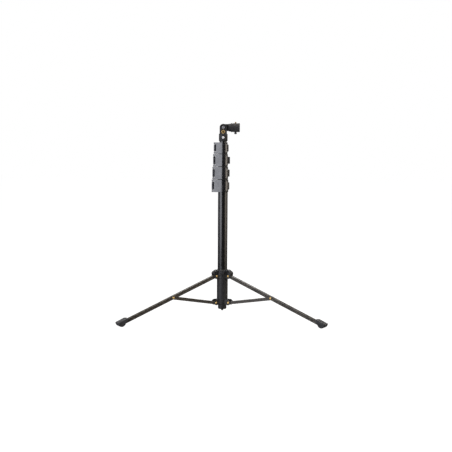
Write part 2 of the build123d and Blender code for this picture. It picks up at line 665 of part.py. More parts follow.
# ---------------------------------------------------------------- tilting socket head
with BuildPart() as head_socket:
    with BuildSketch(Plane.XY.offset(HEAD_LOW)):
        Circle(HEAD_RADIUS)
    extrude(amount=HEAD_SHOULDER - HEAD_LOW)
    chamfer(head_socket.edges().group_by(Axis.Z)[0], 1.6)
    chamfer(head_socket.edges().group_by(Axis.Z)[-1], 1.5)
    with BuildSketch(Plane.XZ):
        with Locations((0, PIVOT_HEIGHT)):
            Circle(FORK_HALF)
        with Locations((0, HEAD_SHOULDER - 4)):
            Rectangle(2 * FORK_HALF, PIVOT_HEIGHT - HEAD_SHOULDER + 4, align=(Align.CENTER, Align.MIN))
    extrude(amount=FORK_DEPTH, both=True)
    crown = head_socket.edges().filter_by(GeomType.CIRCLE).filter_by(lambda e: e.center().Z > PIVOT_HEIGHT)
    chamfer(crown, 0.8)
    with BuildSketch(Plane.XZ):
        with Locations((0, FORK_SLOT_LOW)):
            Rectangle(4 * FORK_HALF, 60, align=(Align.CENTER, Align.MIN))
    extrude(amount=FORK_SLOT, both=True, mode=Mode.SUBTRACT)
    with BuildSketch(Plane.XY.offset(HEAD_LOW - 1)):
        Circle(TUBE_OD[-1] / 2)
    extrude(amount=HEAD_BORE_TOP - HEAD_LOW + 1, mode=Mode.SUBTRACT)
    with BuildSketch(Plane.XZ):
        with Locations((0, PIVOT_HEIGHT)):
            Circle(PIVOT_RADIUS)
    extrude(amount=FORK_DEPTH + 1, both=True, mode=Mode.SUBTRACT)
    with BuildSketch(Plane.XZ):
        with Locations((0, BUSH_HEIGHT)):
            Circle(BUSH_SHANK_RADIUS)
    extrude(amount=FORK_DEPTH + 1, mode=Mode.SUBTRACT)
    with BuildSketch(Plane.XZ):
        with Locations((0, FIX_SCREW_HEIGHT)):
            Circle(FIX_SCREW_RADIUS)
    extrude(amount=HEAD_RADIUS + 1, mode=Mode.SUBTRACT)
    with BuildSketch(Plane.XZ.offset(FIX_SCREW_SEAT)):
        with Locations((0, FIX_SCREW_HEIGHT)):
            Circle(FIX_HEAD_RADIUS + 0.3)
    extrude(amount=2, mode=Mode.SUBTRACT)
save(head_socket, "head_socket")

with BuildPart() as head_bush:
    with BuildSketch(Plane.XZ.offset(FORK_SLOT)):
        with Locations((0, BUSH_HEIGHT)):
            Circle(BUSH_SHANK_RADIUS)
    extrude(amount=FORK_DEPTH - FORK_SLOT)
    with BuildSketch(Plane.XZ.offset(FORK_DEPTH)):
        with Locations((0, BUSH_HEIGHT)):
            Circle(BUSH_RADIUS)
    extrude(amount=BUSH_RIM)
    chamfer(head_bush.edges().group_by(Axis.Y)[0], 0.4)
    with BuildSketch(Plane.XZ):
        with Locations((0, BUSH_HEIGHT)):
            Circle(BUSH_HOLE)
    extrude(amount=FORK_DEPTH + 2, mode=Mode.SUBTRACT)
save(head_bush, "head_brass_bush")


def slotted_screw(depth, head_z, head_radius, head_height, shank_radius, shank_end, slot_angle):
    """Pan-head screw along Y: the head stands on a face at y = -depth, the shank ends at y = shank_end."""
    slot_dir = (math.cos(math.radians(slot_angle)), 0, math.sin(math.radians(slot_angle)))
    with BuildPart() as screw:
        with BuildSketch(Plane.XZ.offset(-shank_end)):
            with Locations((0, head_z)):
                Circle(shank_radius)
        extrude(amount=depth + shank_end)
        with BuildSketch(Plane.XZ.offset(depth)):
            with Locations((0, head_z)):
                Circle(head_radius)
        extrude(amount=head_height)
        fillet(screw.edges().group_by(Axis.Y)[0], head_height * 0.45)
        slot_plane = Plane(origin=(0, -depth - head_height, head_z), x_dir=slot_dir, z_dir=(0, -1, 0))
        with BuildSketch(slot_plane):
            Rectangle(3 * head_radius, head_radius * 0.28)
        extrude(amount=-head_height * 0.5, mode=Mode.SUBTRACT)
    return screw


pivot_bolt = slotted_screw(
    FORK_DEPTH,
    PIVOT_HEIGHT,
    PIVOT_HEAD_RADIUS,
    PIVOT_HEAD_HEIGHT,
    PIVOT_RADIUS,
    FORK_DEPTH + PIVOT_TAIL,
    60,
)
save(pivot_bolt, "head_pivot_bolt")

fixing_screw = slotted_screw(
    FIX_SCREW_SEAT,
    FIX_SCREW_HEIGHT,
    FIX_HEAD_RADIUS,
    FIX_HEAD_HEIGHT,
    FIX_SCREW_RADIUS,
    -FIX_SCREW_TIP,
    20,
)
save(fixing_screw, "head_fixing_screw")

with BuildPart() as pivot_nut:
    with BuildSketch(Plane.XZ.offset(-FORK_DEPTH)):
        with Locations((0, PIVOT_HEIGHT)):
            RegularPolygon(PIVOT_NUT_RADIUS, 6, major_radius=False)
            Circle(PIVOT_RADIUS, mode=Mode.SUBTRACT)
    extrude(amount=-PIVOT_NUT_HEIGHT)
    with BuildSketch(Plane.XZ.offset(-FORK_DEPTH - PIVOT_NUT_HEIGHT)):
        with Locations((0, PIVOT_HEIGHT)):
            Circle(PIVOT_NUT_COLLAR)
            Circle(PIVOT_RADIUS, mode=Mode.SUBTRACT)
    extrude(amount=-NUT_COLLAR_HEIGHT)
save(pivot_nut, "head_pivot_nut")

with BuildPart() as head_arm:
    with BuildSketch(Plane.XZ):
        with Locations((0, PIVOT_HEIGHT)):
            Circle(TONGUE_HALF)
            Rectangle(NECK_START, 2 * TONGUE_HALF, align=(Align.MIN, Align.CENTER))
    extrude(amount=TONGUE_THICKNESS / 2, both=True)
    with BuildSketch(Plane.YZ.offset(NECK_START)):
        with Locations((0, PIVOT_HEIGHT)):
            Circle(NECK_RADIUS)
    extrude(amount=SOCKET_START - NECK_START)
    with BuildSketch(Plane.YZ.offset(SOCKET_START)):
        with Locations((0, PIVOT_HEIGHT)):
            Circle(SPIGOT_RADIUS)
    extrude(amount=SPIGOT_LENGTH)
    with BuildSketch(Plane.XZ):
        with Locations((0, PIVOT_HEIGHT)):
            Circle(PIVOT_RADIUS + RIVET_CLEARANCE)
    extrude(amount=TONGUE_THICKNESS, both=True, mode=Mode.SUBTRACT)
save(head_arm, "head_arm")

with BuildPart() as head_coupling:
    with BuildSketch(Plane.XZ):
        with BuildLine():
            length = SOCKET_END - SOCKET_START
            Polyline(
                (SOCKET_START, PIVOT_HEIGHT + SPIGOT_RADIUS),
                (SOCKET_START, PIVOT_HEIGHT + SOCKET_RADIUS - 1.2),
                (SOCKET_START + 1.2, PIVOT_HEIGHT + SOCKET_RADIUS),
                (SOCKET_START + 4.6, PIVOT_HEIGHT + SOCKET_RADIUS),
                (SOCKET_START + 5.2, PIVOT_HEIGHT + SOCKET_RADIUS - 0.7),
                (SOCKET_START + 6.6, PIVOT_HEIGHT + SOCKET_RADIUS - 0.7),
                (SOCKET_START + 7.2, PIVOT_HEIGHT + SOCKET_RADIUS - 0.1),
                (SOCKET_END - 7.6, PIVOT_HEIGHT + SOCKET_RADIUS - 0.1),
                (SOCKET_END - 7.0, PIVOT_HEIGHT + SOCKET_RADIUS - 0.7),
                (SOCKET_END - 5.8, PIVOT_HEIGHT + SOCKET_RADIUS - 0.7),
                (SOCKET_END - 5.2, PIVOT_HEIGHT + SOCKET_RADIUS),
                (SOCKET_END - 1.2, PIVOT_HEIGHT + SOCKET_RADIUS),
                (SOCKET_END, PIVOT_HEIGHT + SOCKET_RADIUS - 1.2),
                (SOCKET_END, PIVOT_HEIGHT + SOCKET_BORE),
                (SOCKET_START + SPIGOT_LENGTH, PIVOT_HEIGHT + SOCKET_BORE),
                (SOCKET_START + SPIGOT_LENGTH, PIVOT_HEIGHT + SPIGOT_RADIUS),
                (SOCKET_START, PIVOT_HEIGHT + SPIGOT_RADIUS),
            )
        make_face()
    revolve(axis=Axis((0, 0, PIVOT_HEIGHT), (1, 0, 0)))
    with BuildSketch(Plane.XY.offset(PIVOT_HEIGHT)):
        with Locations((CROSS_X, 0)):
            Circle(CROSS_RADIUS + 0.08)
    extrude(amount=-20, mode=Mode.SUBTRACT)
    with BuildSketch(Plane.XY.offset(PIVOT_HEIGHT)):
        with Locations((CROSS_X, 0)):
            Circle(CROSS_RADIUS)
    extrude(amount=20, mode=Mode.SUBTRACT)
save(head_coupling, "head_coupling")

with BuildPart() as lock_screw:
    with BuildSketch(Plane.XY.offset(PIVOT_HEIGHT - SOCKET_BORE - 0.3)):
        with Locations((CROSS_X, 0)):
            Circle(CROSS_RADIUS)
    extrude(amount=-(SOCKET_RADIUS - SOCKET_BORE + 2))
    with BuildSketch(Plane.XY.offset(PIVOT_HEIGHT - SOCKET_RADIUS - 0.4)):
        with Locations((CROSS_X, 0)):
            Circle(LOCK_HEAD_RADIUS)
            with PolarLocations(LOCK_HEAD_RADIUS, LOCK_FLUTES):
                Circle(LOCK_FLUTE_RADIUS, mode=Mode.SUBTRACT)
    extrude(amount=-LOCK_HEAD_HEIGHT)
    chamfer(lock_screw.faces().sort_by(Axis.Z)[0].edges(), 0.6)
save(lock_screw, "socket_lock_screw")

with BuildPart() as spring_stud:
    with BuildSketch(Plane.XY.offset(PIVOT_HEIGHT + SOCKET_BORE + 0.3)):
        with Locations((CROSS_X, 0)):
            Circle(CROSS_RADIUS)
    extrude(amount=SOCKET_RADIUS - SOCKET_BORE - 0.4)
    with BuildSketch(Plane.XY.offset(PIVOT_HEIGHT + SOCKET_RADIUS - 0.1)):
        with Locations((CROSS_X, 0)):
            Circle(SPRING_STUD_RADIUS)
    extrude(amount=SPRING_STUD_HEIGHT, taper=8)
save(spring_stud, "socket_spring_stud")
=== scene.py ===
# %% [markdown]
# # A folding stand, finish by finish
#
# This lesson dresses a small telescoping tripod stand. The solids come from the CAD model as a
# fixed frame: every node keeps its shape and its place, and Blender adds the finishes, the small
# parts that a CAD model usually leaves plain, and the studio. All lengths are in metres.

# %% Load the frame
import math

import bmesh
import bpy
from mathutils import Matrix, Vector


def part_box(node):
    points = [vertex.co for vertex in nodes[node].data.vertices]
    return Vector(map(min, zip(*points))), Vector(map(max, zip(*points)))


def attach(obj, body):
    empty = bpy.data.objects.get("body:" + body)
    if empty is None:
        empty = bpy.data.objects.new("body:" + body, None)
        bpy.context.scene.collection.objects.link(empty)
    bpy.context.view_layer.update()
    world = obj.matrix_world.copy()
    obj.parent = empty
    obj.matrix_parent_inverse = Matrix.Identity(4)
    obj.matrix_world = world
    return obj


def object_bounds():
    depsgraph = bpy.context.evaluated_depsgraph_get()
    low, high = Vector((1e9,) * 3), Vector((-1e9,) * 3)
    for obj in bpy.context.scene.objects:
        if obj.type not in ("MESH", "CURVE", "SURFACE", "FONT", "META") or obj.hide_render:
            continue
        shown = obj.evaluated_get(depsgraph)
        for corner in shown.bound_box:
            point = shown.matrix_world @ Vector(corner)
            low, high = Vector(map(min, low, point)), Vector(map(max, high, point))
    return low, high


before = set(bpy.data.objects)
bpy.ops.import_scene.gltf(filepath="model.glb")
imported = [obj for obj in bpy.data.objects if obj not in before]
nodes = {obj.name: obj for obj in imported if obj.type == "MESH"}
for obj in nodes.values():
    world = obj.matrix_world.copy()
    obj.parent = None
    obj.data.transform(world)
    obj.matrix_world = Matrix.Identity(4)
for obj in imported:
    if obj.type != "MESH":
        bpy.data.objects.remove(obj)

cad_low, cad_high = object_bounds()
print("box of the stand:", [round(v, 4) for v in cad_high - cad_low])

# %% [markdown]
# ## The camera
#
# A product camera for a tall thin object stands well back and uses a long lens, so that the
# mast keeps its width from top to bottom. Its height is near the top of the stand, and it looks
# slightly down at the middle. A camera can be aimed with a constraint, but a plain rotation
# worked out once from the two points is simpler, and a small roll is then one more turn about
# the line of sight.

# %% Place the camera
CAMERA_PLACE = Vector((0.025, -3.0, 0.520))
CAMERA_TARGET = Vector((0.0103, 0.0, 0.2858))
CAMERA_ROLL = math.radians(0.385)


def aim(obj, place, target, roll=0.0):
    """Puts an object at a place with its -Z axis towards a target."""
    turn = (target - place).to_track_quat("-Z", "Y").to_matrix().to_4x4()
    obj.matrix_world = Matrix.Translation(place) @ turn @ Matrix.Rotation(roll, 4, "Z")


camera_data = bpy.data.cameras.new("long_lens")
camera_data.lens = 77.3
camera_data.sensor_width = 36.0
camera_data.clip_end = 60.0
camera = bpy.data.objects.new("camera", camera_data)
bpy.context.scene.collection.objects.link(camera)
aim(camera, CAMERA_PLACE, CAMERA_TARGET, CAMERA_ROLL)
bpy.context.scene.camera = camera
print("camera distance:", round((CAMERA_PLACE - CAMERA_TARGET).length, 3))

# %% [markdown]
# ## The studio
#
# Black gloss tubing is shown by what it reflects, so the lights matter more than the colour.
# Tall soft panels at the left and the right draw one bright line down each side of the mast and
# leave a dark band between them. The left ones are cool and the right ones warm, which tells the
# two sides apart. A weaker panel stands further round on each side and one hangs behind, so that
# the stand reads from all sides. An overhead panel lights the tops of the legs. The background
# is white for the camera, and dim for reflections, as when a product stands in a dark studio in
# front of a lit sweep.

# %% Helpers for materials
def new_material(name):
    """Makes an empty node material and returns it with its tree and its Principled BSDF."""
    material = bpy.data.materials.new(name)
    material.use_nodes = True
    tree = material.node_tree
    shader = tree.nodes["Principled BSDF"]
    return material, tree, shader


def math_node(tree, operation, first, second=0.0, clamp=False):
    """A Math node fed with sockets or plain numbers; returns its output socket."""
    node = tree.nodes.new("ShaderNodeMath")
    node.operation = operation
    node.use_clamp = clamp
    for index, value in enumerate((first, second)):
        if isinstance(value, bpy.types.NodeSocket):
            tree.links.new(value, node.inputs[index])
        else:
            node.inputs[index].default_value = value
    return node.outputs[0]


def tinted(tree, factor, first, second):
    """Mixes two colours by a mask. Each is a socket or three numbers. Returns the result."""
    node = tree.nodes.new("ShaderNodeMix")
    node.data_type = "RGBA"
    tree.links.new(factor, node.inputs["Factor"])
    for label, colour in (("A", first), ("B", second)):
        if isinstance(colour, bpy.types.NodeSocket):
            tree.links.new(colour, node.inputs[label])
        else:
            node.inputs[label].default_value = (*colour, 1.0)
    return node.outputs["Result"]


# %% World light
world = bpy.data.worlds.new("studio_air")
bpy.context.scene.world = world
world.use_nodes = True
air = world.node_tree
sky = air.nodes["Background"]
seen = air.nodes.new("ShaderNodeLightPath")
AIR_LIGHT, AIR_REFLECTED, AIR_BEHIND = (0.24, 0.24, 0.25), (0.02, 0.02, 0.021), (1, 1, 1)
air_colour = tinted(air, seen.outputs["Is Glossy Ray"], AIR_LIGHT, AIR_REFLECTED)
air_colour = tinted(air, seen.outputs["Is Camera Ray"], air_colour, AIR_BEHIND)
air.links.new(air_colour, sky.inputs["Color"])
bpy.context.scene.view_settings.view_transform = "Standard"
print("air that lights, reflects, shows:", AIR_LIGHT, AIR_REFLECTED, AIR_BEHIND)

# %% Floor sweep
FLOOR_PALE, FLOOR_REFLECTED = (0.75, 0.75, 0.75), (0.03, 0.03, 0.03)
FLOOR_GLOW, FLOOR_GLOW_SHARE = 1.16, 0.84
FLOOR_HALF, FLOOR_DROP = 14.0, 0.0004
floor_material, floor_tree, floor_shader = new_material("pale_floor")
floor_shader.inputs["Roughness"].default_value = 0.85
floor_shader.inputs["Specular IOR Level"].default_value = 0.1
floor_seen = floor_tree.nodes.new("ShaderNodeLightPath")
floor_colour = tinted(floor_tree, floor_seen.outputs["Is Glossy Ray"], FLOOR_PALE, FLOOR_REFLECTED)
floor_tree.links.new(floor_colour, floor_shader.inputs["Base Color"])
floor_glow = floor_tree.nodes.new("ShaderNodeEmission")
floor_glow.inputs["Strength"].default_value = FLOOR_GLOW
floor_share = math_node(floor_tree, "MULTIPLY", floor_seen.outputs["Is Camera Ray"], FLOOR_GLOW_SHARE)
floor_sum = floor_tree.nodes.new("ShaderNodeMixShader")
for index, source in enumerate((floor_share, floor_shader.outputs[0], floor_glow.outputs[0])):
    floor_tree.links.new(source, floor_sum.inputs[index])
floor_tree.links.new(floor_sum.outputs[0], floor_tree.nodes["Material Output"].inputs["Surface"])

floor_mesh = bpy.data.meshes.new("floor")
corners = [(x * FLOOR_HALF, y * FLOOR_HALF, 0) for x, y in ((-1, -1), (1, -1), (1, 1), (-1, 1))]
floor_mesh.from_pydata(corners, [], [(0, 1, 2, 3)])
floor = bpy.data.objects.new("floor", floor_mesh)
floor.location.z = cad_low.z - FLOOR_DROP
floor_mesh.materials.append(floor_material)
bpy.context.scene.collection.objects.link(floor)
print("floor height:", round(floor.location.z, 5))

# %% Soft panels
MAST_MIDDLE = Vector((0, 0, 0.32))


def soft_panel(name, azimuth, distance, height, width, tall, watts, colour):
    """A tall area light. Azimuth 0 is the camera's side and positive is towards the right."""
    data = bpy.data.lights.new(name, "AREA")
    data.shape = "RECTANGLE"
    data.size, data.size_y = width, tall
    data.energy = watts
    data.color = colour
    panel = bpy.data.objects.new(name, data)
    bpy.context.scene.collection.objects.link(panel)
    a = math.radians(azimuth)
    aim(panel, Vector((math.sin(a) * distance, -math.cos(a) * distance, height)), MAST_MIDDLE)
    panel.visible_camera = False
    return panel


COOL, WARM, TOP_WARM, PLAIN = (0.90, 0.92, 1.0), (1.0, 0.90, 0.78), (1.0, 0.95, 0.86), (1, 1, 1)
panels = [
    soft_panel("panel_left_front", -48, 2.2, 0.55, 1.9, 2.6, 66, COOL),
    soft_panel("panel_left_side", -106, 2.2, 0.55, 1.0, 2.4, 8, COOL),
    soft_panel("panel_right_front", 74, 2.2, 0.55, 1.5, 2.6, 33, WARM),
    soft_panel("panel_right_side", 120, 2.2, 0.55, 0.8, 2.4, 7, WARM),
    soft_panel("panel_back", 180, 2.4, 1.7, 1.4, 1.4, 34, PLAIN),
    soft_panel("panel_overhead", 0, 0.01, 2.6, 1.6, 1.6, 52, TOP_WARM),
]
print("soft panels:", len(panels))

# %% [markdown]
# ## Shared effects as node groups
#
# Wear on edges, moulding grain, drawing lines and dust show on many of the parts here. Copying
# their nodes into each material would work, but then a change has to be made ten times. A node
# group is built once and placed in each material with its own numbers. The groups only put out
# masks, values and normals, and every shader stays in its own material.

# %% Helpers for groups
def new_group(name, inputs, outputs):
    """A shader group. inputs and outputs are lists of (name, socket type, default)."""
    group = bpy.data.node_groups.new(name, "ShaderNodeTree")
    for label, kind, default in inputs:
        socket = group.interface.new_socket(label, in_out="INPUT", socket_type=kind)
        if default is not None:
            socket.default_value = default
    for label, kind, _ in outputs:
        group.interface.new_socket(label, in_out="OUTPUT", socket_type=kind)
    start = group.nodes.new("NodeGroupInput")
    end = group.nodes.new("NodeGroupOutput")
    return group, start, end


def vector_node(tree, operation, first, second=None):
    """A Vector Math node fed with sockets or three numbers; returns the node."""
    node = tree.nodes.new("ShaderNodeVectorMath")
    node.operation = operation
    for index, value in enumerate((first, second)):
        if isinstance(value, bpy.types.NodeSocket):
            tree.links.new(value, node.inputs[index])
        elif value is not None:
            node.inputs[index].default_value = value
    return node


def noise_node(tree, vector, scale, detail, roughness=0.5):
    """A Noise Texture over a vector socket at a scale socket; returns its Fac output."""
    node = tree.nodes.new("ShaderNodeTexNoise")
    node.inputs["Detail"].default_value = detail
    node.inputs["Roughness"].default_value = roughness
    tree.links.new(vector, node.inputs["Vector"])
    tree.links.new(scale, node.inputs["Scale"])
    return node.outputs["Fac"]


# %% [markdown]
# ### Edge wear
#
# Paint, anodising and nylon all polish or rub through first where a hand or the ground meets an
# edge. Pointiness could find the edges, but it needs dense even meshes, and CAD meshes have long
# thin triangles. A Bevel node rounds the normals near an edge instead, and where the rounded
# normal leans away from the true one there is an edge. The same rounded normal also gives every
# edge a soft highlight.

# %% Edge wear group
BEVEL_SAMPLES = 6
EDGE_GAIN = 9.0
BREAK_FLOOR, BREAK_GAIN = 0.36, 3.2
edge_wear, start, end = new_group(
    "Edge wear",
    [("Width", "NodeSocketFloat", 0.0006), ("Break up", "NodeSocketFloat", 300.0),
     ("Amount", "NodeSocketFloat", 1.0)],
    [("Mask", "NodeSocketFloat", None), ("Rounded normal", "NodeSocketVector", None)],
)
bevel = edge_wear.nodes.new("ShaderNodeBevel")
bevel.samples = BEVEL_SAMPLES
edge_wear.links.new(start.outputs["Width"], bevel.inputs["Radius"])
surface = edge_wear.nodes.new("ShaderNodeNewGeometry")
lean = vector_node(edge_wear, "DOT_PRODUCT", bevel.outputs[0], surface.outputs["Normal"])
away = math_node(edge_wear, "SUBTRACT", 1.0, lean.outputs["Value"])
sharp = math_node(edge_wear, "MULTIPLY", away, EDGE_GAIN, clamp=True)
spot = edge_wear.nodes.new("ShaderNodeTexCoord")
patches = noise_node(edge_wear, spot.outputs["Object"], start.outputs["Break up"], 3.0)
above = math_node(edge_wear, "SUBTRACT", patches, BREAK_FLOOR)
patchy = math_node(edge_wear, "MULTIPLY", above, BREAK_GAIN, clamp=True)
worn = math_node(edge_wear, "MULTIPLY", sharp, patchy)
wear_mask = math_node(edge_wear, "MULTIPLY", worn, start.outputs["Amount"], clamp=True)
edge_wear.links.new(wear_mask, end.inputs["Mask"])
edge_wear.links.new(bevel.outputs[0], end.inputs["Rounded normal"])
print("group:", edge_wear.name)

# %% [markdown]
# ### Grain
#
# Moulded nylon has the spark-eroded texture of its mould, powder coat has orange peel, and rubber
# has a dull fine tooth. All three are the same idea at different sizes: fine cells over a slow
# unevenness. The group mixes a Voronoi and a noise, and puts out a height and a slow blotch.

# %% Grain group
FINE_SHARE, CELL_HEIGHT = 0.6, 0.6
grain, start, end = new_group(
    "Grain",
    [("Size", "NodeSocketFloat", 0.0006), ("Blotch size", "NodeSocketFloat", 0.03)],
    [("Height", "NodeSocketFloat", None), ("Blotch", "NodeSocketFloat", None)],
)
spot = grain.nodes.new("ShaderNodeTexCoord")
cell_scale = math_node(grain, "DIVIDE", 1.0, start.outputs["Size"])
fine_scale = math_node(grain, "MULTIPLY", cell_scale, FINE_SHARE)
slow_scale = math_node(grain, "DIVIDE", 1.0, start.outputs["Blotch size"])
cells = grain.nodes.new("ShaderNodeTexVoronoi")
cells.feature = "SMOOTH_F1"
grain.links.new(spot.outputs["Object"], cells.inputs["Vector"])
grain.links.new(cell_scale, cells.inputs["Scale"])
bumps = math_node(grain, "MULTIPLY", cells.outputs["Distance"], CELL_HEIGHT)
fine = noise_node(grain, spot.outputs["Object"], fine_scale, 4.0)
slow = noise_node(grain, spot.outputs["Object"], slow_scale, 3.0)
grain.links.new(math_node(grain, "ADD", bumps, fine), end.inputs["Height"])
grain.links.new(slow, end.inputs["Blotch"])
print("group:", grain.name)

# %% [markdown]
# ### Drawing lines
#
# Tube and box section are pulled through a die, which leaves faint straight lines along them
# under the anodising. A noise stretched along the member gives them. The stretch has to follow
# each leg, which slopes, so the group takes the member's direction: it squeezes the coordinate
# along that direction only, and one group serves the mast, three legs and three stays.

# %% Drawing lines group
RUB_COARSENESS = 0.09
drawn_lines, start, end = new_group(
    "Drawing lines",
    [("Along", "NodeSocketVector", (0.0, 0.0, 1.0)), ("Fineness", "NodeSocketFloat", 1400.0),
     ("Stretch", "NodeSocketFloat", 0.02)],
    [("Lines", "NodeSocketFloat", None), ("Rubs", "NodeSocketFloat", None)],
)
spot = drawn_lines.nodes.new("ShaderNodeTexCoord")
along = vector_node(drawn_lines, "DOT_PRODUCT", spot.outputs["Object"], start.outputs["Along"])
shrink = math_node(drawn_lines, "SUBTRACT", start.outputs["Stretch"], 1.0)
pull = vector_node(drawn_lines, "SCALE", start.outputs["Along"])
pull_size = math_node(drawn_lines, "MULTIPLY", along.outputs["Value"], shrink)
drawn_lines.links.new(pull_size, pull.inputs["Scale"])
squeezed = vector_node(drawn_lines, "ADD", spot.outputs["Object"], pull.outputs[0])
rub_scale = math_node(drawn_lines, "MULTIPLY", start.outputs["Fineness"], RUB_COARSENESS)
lines = noise_node(drawn_lines, squeezed.outputs[0], start.outputs["Fineness"], 2.0)
rubs = noise_node(drawn_lines, squeezed.outputs[0], rub_scale, 5.0, roughness=0.65)
drawn_lines.links.new(lines, end.inputs["Lines"])
drawn_lines.links.new(rubs, end.inputs["Rubs"])
print("group:", drawn_lines.name)

# %% [markdown]
# ### Dust
#
# A stand that is used outdoors keeps a little pale dust on faces that look up. The group reads
# how far the surface looks up and breaks it with noise, so it gives a thin uneven film and never a
# line.

# %% Dust group
UPWARD_GAIN, UPWARD_BASE = 0.7, 0.3
FILM_FLOOR, FILM_GAIN = 0.42, 3.0
dust, start, end = new_group(
    "Dust",
    [("Amount", "NodeSocketFloat", 0.3), ("Patch size", "NodeSocketFloat", 0.012)],
    [("Mask", "NodeSocketFloat", None)],
)
spot = dust.nodes.new("ShaderNodeTexCoord")
surface = dust.nodes.new("ShaderNodeNewGeometry")
split = dust.nodes.new("ShaderNodeSeparateXYZ")
dust.links.new(surface.outputs["Normal"], split.inputs[0])
tilted = math_node(dust, "MULTIPLY", split.outputs["Z"], UPWARD_GAIN)
upward = math_node(dust, "ADD", tilted, UPWARD_BASE, clamp=True)
film_scale = math_node(dust, "DIVIDE", 1.0, start.outputs["Patch size"])
film = noise_node(dust, spot.outputs["Object"], film_scale, 6.0, roughness=0.7)
settled = math_node(dust, "SUBTRACT", film, FILM_FLOOR)
broken = math_node(dust, "MULTIPLY", settled, FILM_GAIN, clamp=True)
lying = math_node(dust, "MULTIPLY", upward, broken)
thick = math_node(dust, "MULTIPLY", lying, start.outputs["Amount"], clamp=True)
dust.links.new(thick, end.inputs["Mask"])
print("group:", dust.name)

# %% [markdown]
# ### Round mark
#
# A screw head's rim is painted dark where its edge turns away from the light, and a threaded
# hole is painted black where light doesn't reach into it: both are painted shade. Both are circles
# about an axis that runs from front to back, so one group measures the distance from that axis
# and puts out a soft-edged disc.

# %% Round mark group
round_mark, start, end = new_group(
    "Round mark",
    [("Centre", "NodeSocketVector", (0.0, 0.0, 0.0)), ("Radius", "NodeSocketFloat", 0.003),
     ("Blur", "NodeSocketFloat", 0.0003)],
    [("Mask", "NodeSocketFloat", None)],
)
spot = round_mark.nodes.new("ShaderNodeTexCoord")
offset = vector_node(round_mark, "SUBTRACT", spot.outputs["Object"], start.outputs["Centre"])
flat = vector_node(round_mark, "MULTIPLY", offset.outputs[0], (1.0, 0.0, 1.0))
reach = vector_node(round_mark, "LENGTH", flat.outputs[0])
inside = math_node(round_mark, "SUBTRACT", start.outputs["Radius"], reach.outputs["Value"])
disc = math_node(round_mark, "DIVIDE", inside, start.outputs["Blur"], clamp=True)
round_mark.links.new(disc, end.inputs["Mask"])
print("group:", round_mark.name)


# %% Placing a group in a material
def place(tree, group, **values):
    """Adds a group to a material. Values are given by socket name, with _ for a space."""
    node = tree.nodes.new("ShaderNodeGroup")
    node.node_tree = group
    for label, value in values.items():
        node.inputs[label.replace("_", " ")].default_value = value
    return node


def ranged(tree, value, low, high, out_low, out_high):
    """A Map Range node from one span of numbers to another. Returns its output."""
    node = tree.nodes.new("ShaderNodeMapRange")
    tree.links.new(value, node.inputs["Value"])
    limits = {"From Min": low, "From Max": high, "To Min": out_low, "To Max": out_high}
    for label, number in limits.items():
        node.inputs[label].default_value = number
    return node.outputs["Result"]


def raised(tree, height, distance, strength, normal=None):
    """A Bump node over a height in grain units. Returns its normal."""
    node = tree.nodes.new("ShaderNodeBump")
    node.inputs["Distance"].default_value = distance
    node.inputs["Strength"].default_value = strength
    tree.links.new(height, node.inputs["Height"])
    if normal is not None:
        tree.links.new(normal, node.inputs["Normal"])
    return node.outputs["Normal"]


def dress(names, material):
    """Gives CAD nodes a material in their own slots, without touching the mesh data."""
    for name in names:
        for material_slot in nodes[name].material_slots:
            material_slot.link = "OBJECT"
            material_slot.material = material
    print(material.name, "on", len(names), "nodes")


# %% [markdown]
# ## The mast: gloss anodised tube
#
# Black anodising is a hard clear skin over dyed metal. It isn't a mirror and isn't paint: the
# highlight is wide, a little soft, and broken by the drawing lines, and the sliding sections get
# long rub marks. A dark base with a low metallic share and a thin coat gives both the wide and
# the tight highlight.

# %% Gloss tube
def gloss_tube(name, direction):
    """Black anodised tube or section, with its drawing lines along a direction."""
    material, tree, shader = new_material(name)
    pulled = place(tree, drawn_lines, Along=direction, Fineness=1500.0, Stretch=0.012)
    wear = place(tree, edge_wear, Width=0.0005, Break_up=260.0, Amount=0.55)
    film = place(tree, dust, Amount=0.05, Patch_size=0.02)
    rubbed = ranged(tree, pulled.outputs["Rubs"], 0.45, 0.75, 0.0, 1.0)
    base = tinted(tree, rubbed, (0.0032, 0.0032, 0.0036), (0.0075, 0.0073, 0.0072))
    base = tinted(tree, wear.outputs["Mask"], base, (0.26, 0.26, 0.27))
    base = tinted(tree, film.outputs["Mask"], base, (0.22, 0.20, 0.17))
    tree.links.new(base, shader.inputs["Base Color"])
    rough = ranged(tree, pulled.outputs["Rubs"], 0.3, 0.75, 0.24, 0.34)
    tree.links.new(rough, shader.inputs["Roughness"])
    tree.links.new(raised(tree, pulled.outputs["Lines"], 0.00002, 0.2), shader.inputs["Normal"])
    shader.inputs["Metallic"].default_value = 0.15
    shader.inputs["Specular IOR Level"].default_value = 0.62
    shader.inputs["Coat Weight"].default_value = 0.25
    shader.inputs["Coat Roughness"].default_value = 0.16
    return material


mast_gloss = gloss_tube("mast_gloss", (0.0, 0.0, 1.0))
dress([f"tube_{n}" for n in range(1, 6)], mast_gloss)

# %% [markdown]
# ## The flip-lock clamps: satin nylon
#
# The levers and collars are glass-filled nylon from a polished mould. They look nearly as glossy
# as the tube, but greyer and more even, with faint flow marks and bright rubbed edges where
# fingers pull them. The bodies behind are the same plastic with a duller, textured face, and
# the sliding collar, its sleeve and the knob are duller still.

# %% Lever and collar plastic
PALER = 1.55
GRAIN_HEIGHT_SHARE = 0.25
NYLON_DUST = (0.24, 0.22, 0.19)


